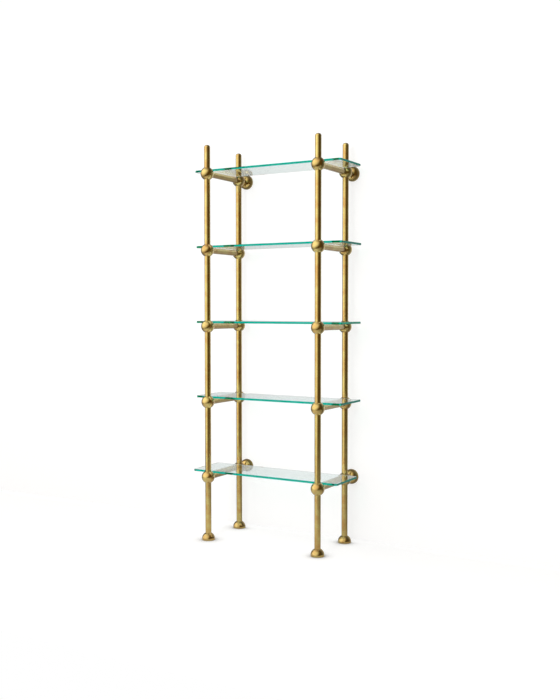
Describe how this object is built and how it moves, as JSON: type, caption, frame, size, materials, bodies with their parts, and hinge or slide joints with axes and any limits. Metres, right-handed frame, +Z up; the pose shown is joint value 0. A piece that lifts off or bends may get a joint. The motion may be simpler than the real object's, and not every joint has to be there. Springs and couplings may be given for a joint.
{
  "type": "etagere",
  "caption": "Tall open etagere: round posts on domed feet, joined by ball fittings and side rails that carry loose glass shelves, with domed fixings to the wall behind.",
  "frame": {"origin": "on the floor, midway between the left and right posts, and midway between the front of the front feet and the wall", "axes": "+Z up, +Y to the wall behind, +X to the right seen from the front"},
  "size_m": [0.828, 0.4, 1.95],
  "materials": {
    "aged_brass": "satin, hand-aged",
    "clear_glass": "clear float glass, ground edges",
    "dark_steel": "blackened",
    "plain_steel": "zinc plated",
    "pad_rubber": "matt"
  },
  "bodies": {
    "frame": {"post_front_left": "aged_brass", "post_cap_front_left": "aged_brass", "foot_front_left": "aged_brass", "ball_1_front_left": "aged_brass", "ball_2_front_left": "aged_brass", "ball_3_front_left": "aged_brass", "ball_4_front_left": "aged_brass", "ball_5_front_left": "aged_brass", "post_back_left": "aged_brass", "post_cap_back_left": "aged_brass", "foot_back_left": "aged_brass", "ball_1_back_left": "aged_brass", "ball_2_back_left": "aged_brass", "ball_3_back_left": "aged_brass", "ball_4_back_left": "aged_brass", "ball_5_back_left": "aged_brass", "rail_1_left": "aged_brass", "rail_2_left": "aged_brass", "rail_3_left": "aged_brass", "rail_4_left": "aged_brass", "rail_5_left": "aged_brass", "wall_stub_bottom_left": "aged_brass", "rosette_bottom_left": "aged_brass", "wall_stub_top_left": "aged_brass", "rosette_top_left": "aged_brass", "post_front_right": "aged_brass", "post_cap_front_right": "aged_brass", "foot_front_right": "aged_brass", "ball_1_front_right": "aged_brass", "ball_2_front_right": "aged_brass", "ball_3_front_right": "aged_brass", "ball_4_front_right": "aged_brass", "ball_5_front_right": "aged_brass", "post_back_right": "aged_brass", "post_cap_back_right": "aged_brass", "foot_back_right": "aged_brass", "ball_1_back_right": "aged_brass", "ball_2_back_right": "aged_brass", "ball_3_back_right": "aged_brass", "ball_4_back_right": "aged_brass", "ball_5_back_right": "aged_brass", "rail_1_right": "aged_brass", "rail_2_right": "aged_brass", "rail_3_right": "aged_brass", "rail_4_right": "aged_brass", "rail_5_right": "aged_brass", "wall_stub_bottom_right": "aged_brass", "rosette_bottom_right": "aged_brass", "wall_stub_top_right": "aged_brass", "rosette_top_right": "aged_brass", "post_set_screws": "dark_steel", "tube_set_screws": "dark_steel", "rosette_set_screws": "dark_steel", "wall_plates": "plain_steel", "foot_pads": "pad_rubber"},
    "glass_1": {"shelf_1": "clear_glass"},
    "glass_2": {"shelf_2": "clear_glass"},
    "glass_3": {"shelf_3": "clear_glass"},
    "glass_4": {"shelf_4": "clear_glass"},
    "glass_5": {"shelf_5": "clear_glass"}
  },
  "joints": [
    {"name": "shelf_1_slide", "type": "slide", "parent": "frame", "child": "glass_1", "axis": [1, 0, 0], "range_m": [-0.075, 0.105]},
    {"name": "shelf_2_slide", "type": "slide", "parent": "frame", "child": "glass_2", "axis": [1, 0, 0], "range_m": [-0.094, 0.086]},
    {"name": "shelf_3_slide", "type": "slide", "parent": "frame", "child": "glass_3", "axis": [1, 0, 0], "range_m": [-0.094, 0.086]},
    {"name": "shelf_4_slide", "type": "slide", "parent": "frame", "child": "glass_4", "axis": [1, 0, 0], "range_m": [-0.095, 0.085]},
    {"name": "shelf_5_slide", "type": "slide", "parent": "frame", "child": "glass_5", "axis": [1, 0, 0], "range_m": [-0.09, 0.09]}
  ]
}
